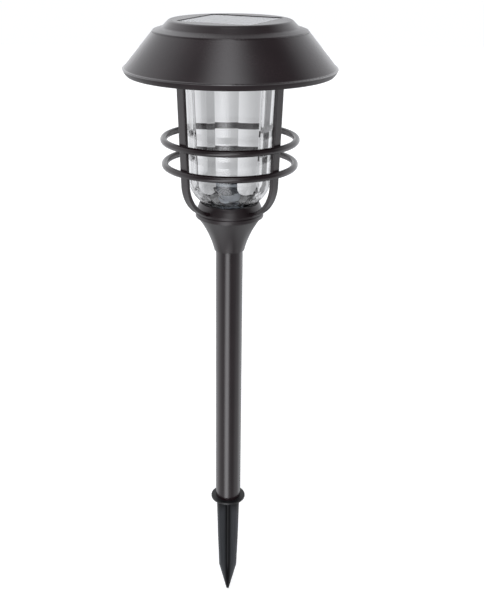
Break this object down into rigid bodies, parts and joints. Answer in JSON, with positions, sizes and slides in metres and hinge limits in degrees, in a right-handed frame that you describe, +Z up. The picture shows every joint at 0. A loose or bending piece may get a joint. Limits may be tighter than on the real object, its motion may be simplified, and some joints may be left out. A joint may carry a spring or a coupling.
{
  "type": "solar path light",
  "caption": "Stake-mounted solar path light: conical cap with a square solar window, clear faceted lens in a barred cage with guard rings, flared neck, pole and finned ground stake.",
  "frame": {"origin": "on the pole's axis at ground level, the underside of the stake's collar", "axes": "+Z up along the pole, -Y is the front between two cage bars"},
  "size_m": [0.165, 0.165, 0.5269],
  "materials": {
    "bronze_cap": "satin dark bronze",
    "bronze_metal": "satin dark bronze powder coat",
    "stake_plastic": "semi-gloss black",
    "black_plastic": "matt",
    "clear_lens": "clear",
    "resin": "clear gloss",
    "solar_cell": "dark blue silicon",
    "silver": "tinned ribbon",
    "panel_board": "light grey board",
    "rubber": "matt",
    "steel": "zinc plated",
    "circuit_green": "solder mask",
    "component_beige": "lacquered",
    "led_clear": "clear epoxy",
    "reflector": "bright plated",
    "battery_wrap": "green sleeve",
    "lead_red": "red insulation",
    "lead_black": "black insulation"
  },
  "bodies": {
    "stake": {"ground_stake": "stake_plastic"},
    "post": {"pole": "bronze_metal", "pole_plug": "black_plastic", "neck_flare": "bronze_metal", "hub_cup": "bronze_metal", "hub_screw": "steel", "hub_washer": "steel", "cup_pad": "rubber", "cage_bars": "bronze_metal", "cage_band": "bronze_metal", "guard_ring_upper": "bronze_metal", "guard_ring_lower": "bronze_metal"},
    "lens": {"globe": "clear_lens", "light_prism": "clear_lens"},
    "seal": {"globe_gasket": "rubber"},
    "head": {"shade": "bronze_cap", "top_bezel": "bronze_cap", "panel_gasket": "rubber", "panel_base": "panel_board", "solar_cells": "solar_cell", "cell_busbars": "silver", "panel_resin": "resin", "underside_tray": "bronze_cap", "tray_seal": "rubber", "tray_screws": "steel", "circuit_board": "circuit_green", "board_chip": "black_plastic", "board_inductor": "component_beige", "board_capacitor": "black_plastic", "board_screws": "steel", "led_emitter": "led_clear", "led_reflector": "reflector", "battery_cell": "battery_wrap", "battery_spring": "steel", "battery_contact": "steel", "panel_leads": "lead_red", "battery_leads": "lead_black", "switch_leads": "lead_red", "switch_body": "steel", "door_hinge_pin": "steel"},
    "battery_door": {"battery_door": "bronze_cap"},
    "switch": {"switch_slider": "black_plastic"}
  },
  "joints": [
    {"name": "pole_pull", "type": "slide", "parent": "stake", "child": "post", "axis": [0, 0, 1], "range_m": [0, 0.045]},
    {"name": "lens_lift", "type": "slide", "parent": "post", "child": "lens", "axis": [0, 0, 1], "range_m": [0, 0.115]},
    {"name": "head_lift", "type": "slide", "parent": "lens", "child": "seal", "axis": [0, 0, 1], "range_m": [0, 0.06]},
    {"name": "head_twist", "type": "hinge", "parent": "seal", "child": "head", "pos_m": [0, 0, 0.386], "axis": [0, 0, 1], "range_deg": [0, 25]},
    {"name": "battery_door_swing", "type": "hinge", "parent": "head", "child": "battery_door", "pos_m": [0, 0.0254, 0.3839], "axis": [1, 0, 0], "range_deg": [0, 90]},
    {"name": "switch_slide", "type": "slide", "parent": "head", "child": "switch", "axis": [0, 1, 0], "range_m": [0, 0.003]}
  ]
}
